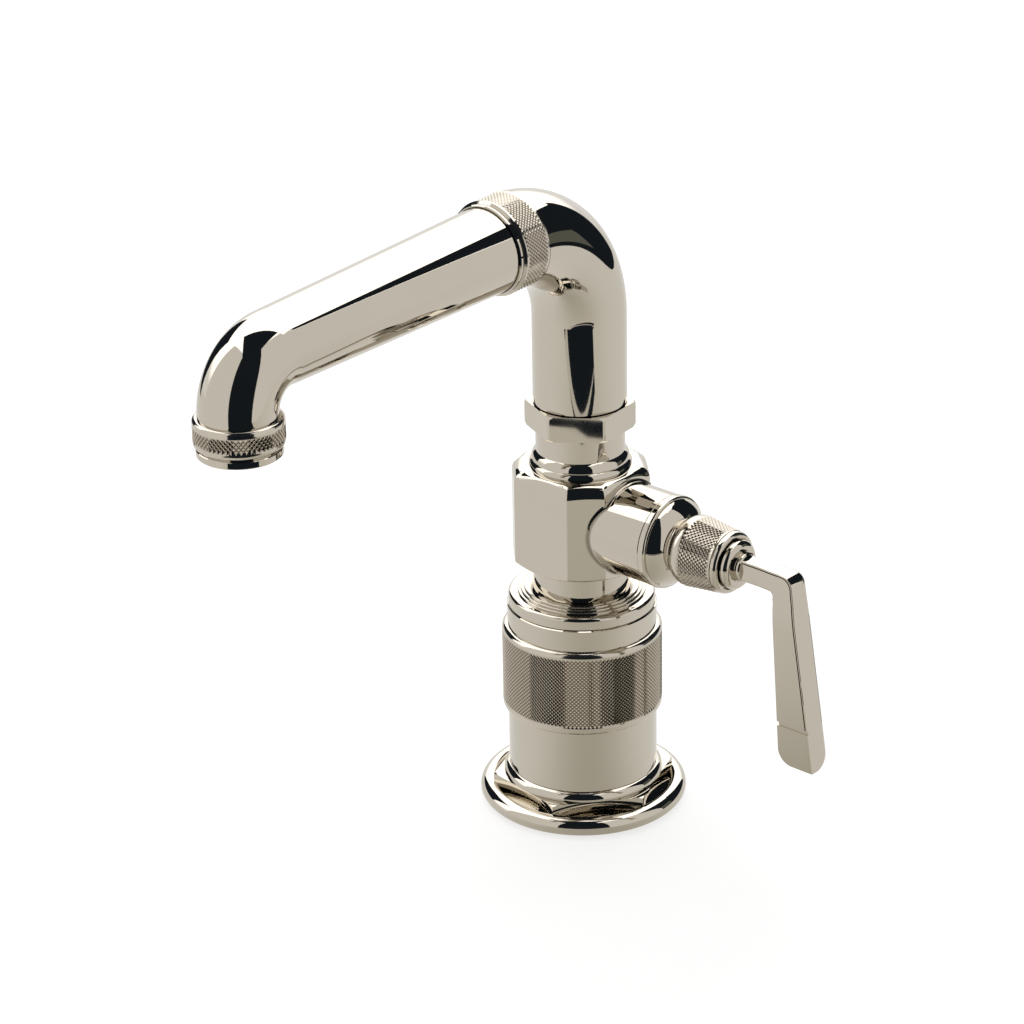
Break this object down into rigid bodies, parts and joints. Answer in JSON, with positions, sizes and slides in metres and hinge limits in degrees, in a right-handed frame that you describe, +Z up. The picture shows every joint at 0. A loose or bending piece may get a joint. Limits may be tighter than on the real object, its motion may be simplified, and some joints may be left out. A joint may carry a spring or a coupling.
{
  "type": "bar faucet",
  "caption": "Deck-mounted bar faucet: an elbow spout that swivels on a round column, knurled grip bands, and a lever on a side valve that turns the water on.",
  "frame": {"origin": "centre of the base on the deck, at the mouth of the mounting stud's hole", "axes": "+Z up along the column, spout along -Y, valve branch and lever along +X"},
  "size_m": [0.1235, 0.1835, 0.2041],
  "materials": {
    "polished_nickel": "mirror-polished warm nickel plate",
    "knurled_nickel": "diamond-knurled nickel plate",
    "brass": "machined brass, inside the body",
    "steel": "plain stainless steel",
    "rubber": "black moulded rubber",
    "ceramic": "lapped white ceramic",
    "plastic": "moulded plastic"
  },
  "bodies": {
    "base": {"deck_gasket": "rubber", "base_flange": "polished_nickel", "base_plinth": "polished_nickel", "base_bead": "polished_nickel", "hot_supply_tube": "brass", "cold_supply_tube": "brass", "column_core": "brass", "column_sleeve": "polished_nickel", "knurled_column_ring": "knurled_nickel", "column_top_sleeve": "polished_nickel", "column_cap": "polished_nickel", "valve_body": "polished_nickel", "swivel_collar": "polished_nickel", "swivel_nut": "polished_nickel", "port_seals": "rubber", "cartridge_base": "plastic", "fixed_disc": "ceramic", "cartridge_housing": "brass", "spindle_oring": "rubber", "gland_nut": "brass", "branch_cap": "polished_nickel"},
    "spout": {"spout_tail": "brass", "tail_orings": "rubber", "retaining_clip": "steel", "riser_elbow": "polished_nickel", "knurled_union_ring": "knurled_nickel", "union_lip": "polished_nickel", "spout_tube": "polished_nickel", "knurled_outlet_ring": "knurled_nickel", "aerator_housing": "polished_nickel", "aerator_insert": "plastic", "aerator_washer": "rubber"},
    "lever": {"moving_disc": "ceramic", "spindle": "brass", "lever_hub": "knurled_nickel", "hub_grub_screw": "steel", "lever_boss": "polished_nickel", "lever": "polished_nickel"}
  },
  "joints": [
    {"name": "spout_swivel", "type": "hinge", "parent": "base", "child": "spout", "pos_m": [0, 0, 0.12], "axis": [0, 0, 1], "continuous": true},
    {"name": "lever_turn", "type": "hinge", "parent": "base", "child": "lever", "pos_m": [0.045, 0, 0.0951], "axis": [-1, 0, 0], "range_deg": [0, 90]}
  ]
}
